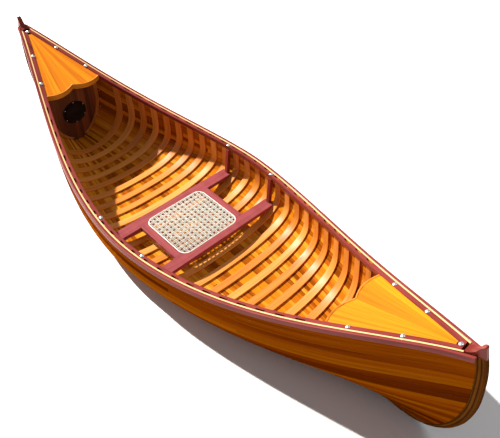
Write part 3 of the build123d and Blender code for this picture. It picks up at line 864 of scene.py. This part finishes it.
woven.append(
    grown(
        "cane_diagonals",
        points,
        sides,
        tree,
        Width=diagonal_width,
        Thickness=strand_thickness,
        Material=cane.material,
    )
)
for weave in woven:
    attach(weave, "hull")
    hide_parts("seat_cane")

cord = merged_copy("cane_cord", "seat_cane_spline")
ease_edges(cord, cord_round, 3)
fit(cord, cord_cane, "seat_caning", "hull", "seat_cane_spline")

# ---------- Bolts and screws ----------
# Polished dome-headed bolts hold the decks and the seat posts, and small stainless screws
# hold the hatch rings and run through the planking into the bulkheads.


def steel_finish(name, rough):
    finish = Finish(name, Metallic=1.0)
    swirls = finish.noise(finish.place(), (0.004, 0.0008, 0.004), 3.0, 0.6, 1.5)
    colour = finish.ramp(swirls, (0.3, (0.74, 0.75, 0.77)), (0.7, (0.90, 0.91, 0.93)))
    finish.show(
        Base_Color=colour, Roughness=swirls * 0.15 + rough, Normal=finish.relief(swirls, 0.00002)
    )
    return finish


polished = steel_finish("polished stainless", 0.26)
screw_steel = steel_finish("small stainless", 0.22)
for name, node, finish, slot in (
    ("deck_bolt_heads", "deck_bolts", polished, "stainless_bolts"),
    ("seat_bolt_heads", "seat_hanger_bolts", polished, "stainless_bolts"),
    ("ring_screw_heads", "hatch_ring_screws", screw_steel, "small_stainless_screws"),
    ("planking_screw_heads", "planking_screws", screw_steel, "small_stainless_screws"),
):
    fastening = merged_copy(name, node)
    crisp(fastening)
    fit(fastening, finish, slot, "hull", node)

# ---------- Floor, light and camera ----------
# A pale plain floor under the keel, one small distant key light from the stern, a wide fill,
# and a camera that looks down along the hull from the bow.


def floor_finish():
    finish = Finish("pale floor")
    cloud = finish.noise(finish.place(), (1.5, 1.5, 1.5), 2.0)
    colour = finish.blend(cloud, (0.88, 0.88, 0.87), (0.93, 0.93, 0.92))
    finish.show(Base_Color=colour, Roughness=cloud * 0.1 + 0.7)
    return finish


floor_reach = 20
floor_level = -0.0005
corners = [
    (x * floor_reach, y * floor_reach, floor_level) for x, y in ((-1, -1), (1, -1), (1, 1), (-1, 1))
]
floor_mesh = bpy.data.meshes.new("floor")
floor_mesh.from_pydata(corners, [], [(0, 1, 2, 3)])
floor = bpy.data.objects.new("floor", floor_mesh)
bpy.context.scene.collection.objects.link(floor)
floor.data.materials.append(floor_finish().material)

world = bpy.data.worlds.new("studio")
world.use_nodes = True
world.node_tree.nodes["Background"].inputs["Color"].default_value = (0.95, 0.97, 1.0, 1.0)
world.node_tree.nodes["Background"].inputs["Strength"].default_value = 0.26
bpy.context.scene.world = world
bpy.context.scene.view_settings.view_transform = "Standard"


def lamp(name, place, aim, size, power, colour):
    light = bpy.data.lights.new(name, "AREA")
    light.shape = "DISK"
    light.size = size
    light.energy = power
    light.color = colour
    holder = bpy.data.objects.new(name, light)
    holder.location = place
    holder.rotation_euler = (Vector(aim) - Vector(place)).to_track_quat("-Z", "Y").to_euler()
    bpy.context.scene.collection.objects.link(holder)


lamp("key", (-14.4, -2.4, 12.0), (0.15, 0.0, 0.1), 0.45, 9400, (1.0, 0.96, 0.90))
lamp("fill", (2.5, 2.5, 4.5), (0, 0, 0.2), 3.0, 45, (0.95, 0.97, 1.0))

view_azimuth = math.radians(43.6)
view_elevation = math.radians(35.466)
view_roll = math.radians(1.363)
back = Vector((
    math.sin(view_azimuth) * math.cos(view_elevation),
    -math.cos(view_azimuth) * math.cos(view_elevation),
    math.sin(view_elevation),
))
level = Vector((math.cos(view_azimuth), math.sin(view_azimuth), 0.0))
upward = back.cross(level)
right = level * math.cos(view_roll) + upward * math.sin(view_roll)
up = upward * math.cos(view_roll) - level * math.sin(view_roll)
camera_data = bpy.data.cameras.new("camera")
camera_data.lens = 47.27
camera_data.sensor_width = 36.0
camera_data.shift_x = -0.10
camera_data.shift_y = -0.21
camera = bpy.data.objects.new("camera", camera_data)
turn = Matrix((right, up, back)).transposed().to_4x4()
camera.matrix_world = Matrix.Translation((1.8576, -1.2446, 2.2593)) @ turn
bpy.context.scene.collection.objects.link(camera)
bpy.context.scene.camera = camera
